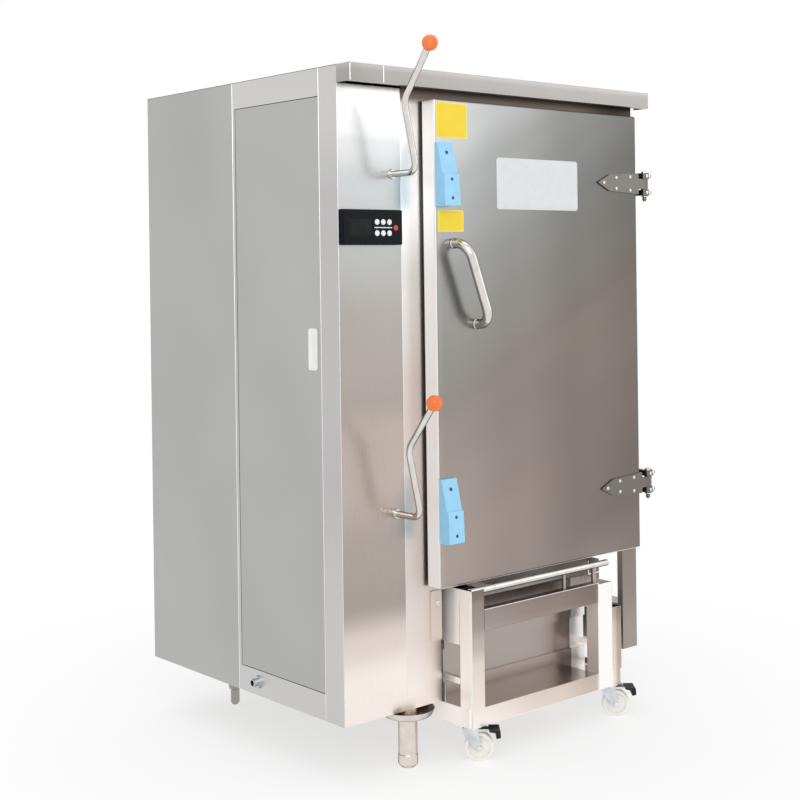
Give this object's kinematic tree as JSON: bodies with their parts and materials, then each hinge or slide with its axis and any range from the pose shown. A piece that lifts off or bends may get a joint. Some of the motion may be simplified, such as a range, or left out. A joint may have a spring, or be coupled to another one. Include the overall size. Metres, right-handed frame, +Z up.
{
  "type": "steam cabinet",
  "caption": "Floor-standing steam cabinet with a side-hinged insulated door, cam levers, a control column, an inner tray rack and a low transfer trolley.",
  "frame": {"origin": "on the floor, under the middle of the outer box", "axes": "+Z up, +Y to the rear, +X to the right seen from the front; the door faces -Y"},
  "size_m": [1.196, 1.2065, 1.9161],
  "materials": {
    "stainless_sheet": "brushed",
    "stainless_dark": "satin",
    "polished_steel": "polished",
    "cast_hinge": "satin cast",
    "brass_fitting": "satin",
    "insulation": "mineral wool",
    "foam_core": "foam",
    "silicone_seal": "satin",
    "black_housing": "matte",
    "black_glass": "gloss",
    "white_button": "satin",
    "red_button": "gloss",
    "blue_nylon": "satin",
    "orange_ball": "gloss",
    "white_pull": "satin",
    "white_nylon": "satin",
    "zinc_fork": "zinc plated",
    "black_pedal": "matte"
  },
  "bodies": {
    "cabinet": {"left_rear_panel": "stainless_sheet", "left_frame": "stainless_sheet", "right_panel": "stainless_sheet", "right_sill": "stainless_sheet", "rear_panel": "stainless_sheet", "top_panel": "stainless_sheet", "hood": "stainless_sheet", "column_cover": "stainless_sheet", "door_frame": "stainless_sheet", "column_wall": "stainless_dark", "steam_tank": "stainless_dark", "heater": "brass_fitting", "drain_fitting": "stainless_dark", "chamber_liner": "stainless_sheet", "insulation": "insulation", "bay_ceiling": "stainless_dark", "tray_rack": "stainless_dark", "tray": "stainless_sheet", "leg_front_left": "stainless_sheet", "leg_front_right": "stainless_sheet", "leg_rear_left": "stainless_sheet", "leg_rear_right": "stainless_sheet", "control_housing": "black_housing", "control_glass": "black_glass", "lever_bushes": "stainless_dark", "hinge_base_upper": "cast_hinge", "hinge_base_lower": "cast_hinge"},
    "door": {"door_skin": "stainless_sheet", "door_core": "foam_core", "door_liner": "stainless_sheet", "door_gasket": "silicone_seal", "door_handle": "polished_steel", "wedge_upper": "blue_nylon", "wedge_lower": "blue_nylon", "hinge_strap_upper": "cast_hinge", "hinge_strap_lower": "cast_hinge"},
    "upper_lever": {"lever_rod_upper": "polished_steel", "lever_knob_upper": "orange_ball"},
    "lower_lever": {"lever_rod_lower": "polished_steel", "lever_knob_lower": "orange_ball"},
    "access_door": {"access_panel": "stainless_sheet", "flush_pull": "white_pull"},
    "button_low_1": {"button_low_1": "white_button"},
    "button_low_2": {"button_low_2": "white_button"},
    "button_low_3": {"button_low_3": "white_button"},
    "button_high_1": {"button_high_1": "white_button"},
    "button_high_2": {"button_high_2": "white_button"},
    "button_high_3": {"button_high_3": "white_button"},
    "button_red": {"button_red": "red_button"},
    "trolley": {"trolley_frame": "stainless_sheet"},
    "caster_left": {"caster_fork_left": "zinc_fork"},
    "brake_left": {"brake_arm_left": "zinc_fork", "brake_pedal_left": "black_pedal"},
    "front_wheel_left": {"wheel_front_left": "white_nylon"},
    "rear_wheel_left": {"wheel_rear_left": "white_nylon"},
    "caster_right": {"caster_fork_right": "zinc_fork"},
    "brake_right": {"brake_arm_right": "zinc_fork", "brake_pedal_right": "black_pedal"},
    "front_wheel_right": {"wheel_front_right": "white_nylon"},
    "rear_wheel_right": {"wheel_rear_right": "white_nylon"}
  },
  "joints": [
    {"name": "door_swing", "type": "hinge", "parent": "cabinet", "child": "door", "pos_m": [0.5725, -0.40675, 1.13], "axis": [0, 0, 1], "range_deg": [0, 110]},
    {"name": "upper_lever_turn", "type": "hinge", "parent": "cabinet", "child": "upper_lever", "pos_m": [-0.3935, -0.35175, 1.584], "axis": [0, 1, 0], "range_deg": [0, 93.6]},
    {"name": "lower_lever_turn", "type": "hinge", "parent": "cabinet", "child": "lower_lever", "pos_m": [-0.3935, -0.35175, 0.687], "axis": [0, 1, 0], "range_deg": [0, 93.6]},
    {"name": "access_swing", "type": "hinge", "parent": "cabinet", "child": "access_door", "pos_m": [-0.5735, 0.10225, 1.008], "axis": [0, 0, -1], "range_deg": [0, 110]},
    {"name": "button_low_1_press", "type": "slide", "parent": "cabinet", "child": "button_low_1", "axis": [0, 1, 0], "range_m": [0, 0.001], "stiffness_N_per_m": 800},
    {"name": "button_low_2_press", "type": "slide", "parent": "cabinet", "child": "button_low_2", "axis": [0, 1, 0], "range_m": [0, 0.001], "stiffness_N_per_m": 800},
    {"name": "button_low_3_press", "type": "slide", "parent": "cabinet", "child": "button_low_3", "axis": [0, 1, 0], "range_m": [0, 0.001], "stiffness_N_per_m": 800},
    {"name": "button_high_1_press", "type": "slide", "parent": "cabinet", "child": "button_high_1", "axis": [0, 1, 0], "range_m": [0, 0.001], "stiffness_N_per_m": 800},
    {"name": "button_high_2_press", "type": "slide", "parent": "cabinet", "child": "button_high_2", "axis": [0, 1, 0], "range_m": [0, 0.001], "stiffness_N_per_m": 800},
    {"name": "button_high_3_press", "type": "slide", "parent": "cabinet", "child": "button_high_3", "axis": [0, 1, 0], "range_m": [0, 0.001], "stiffness_N_per_m": 800},
    {"name": "button_red_press", "type": "slide", "parent": "cabinet", "child": "button_red", "axis": [0, 1, 0], "range_m": [0, 0.001], "stiffness_N_per_m": 800},
    {"name": "trolley_roll", "type": "slide", "parent": "cabinet", "child": "trolley", "axis": [0, -1, 0], "range_m": [0, 0.7]},
    {"name": "caster_swivel_left", "type": "hinge", "parent": "trolley", "child": "caster_left", "pos_m": [-0.1915, -0.40975, 0.094], "axis": [0, 0, 1], "continuous": true},
    {"name": "brake_press_left", "type": "hinge", "parent": "caster_left", "child": "brake_left", "pos_m": [-0.18014, -0.41955, 0.0855], "axis": [0.6534, 0.757, 0], "range_deg": [0, 8]},
    {"name": "front_wheel_spin_left", "type": "hinge", "parent": "caster_left", "child": "front_wheel_left", "pos_m": [-0.17333, -0.42543, 0.04], "axis": [0.6534, 0.757, 0], "continuous": true},
    {"name": "rear_wheel_spin_left", "type": "hinge", "parent": "trolley", "child": "rear_wheel_left", "pos_m": [-0.1915, 0.14825, 0.04], "axis": [1, 0, 0], "continuous": true},
    {"name": "caster_swivel_right", "type": "hinge", "parent": "trolley", "child": "caster_right", "pos_m": [0.3695, -0.40975, 0.094], "axis": [0, 0, 1], "continuous": true},
    {"name": "brake_press_right", "type": "hinge", "parent": "caster_right", "child": "brake_right", "pos_m": [0.38085, -0.41955, 0.0855], "axis": [0.6534, 0.757, 0], "range_deg": [0, 8]},
    {"name": "front_wheel_spin_right", "type": "hinge", "parent": "caster_right", "child": "front_wheel_right", "pos_m": [0.38767, -0.42543, 0.04], "axis": [0.6534, 0.757, 0], "continuous": true},
    {"name": "rear_wheel_spin_right", "type": "hinge", "parent": "trolley", "child": "rear_wheel_right", "pos_m": [0.3695, 0.14825, 0.04], "axis": [1, 0, 0], "continuous": true}
  ]
}
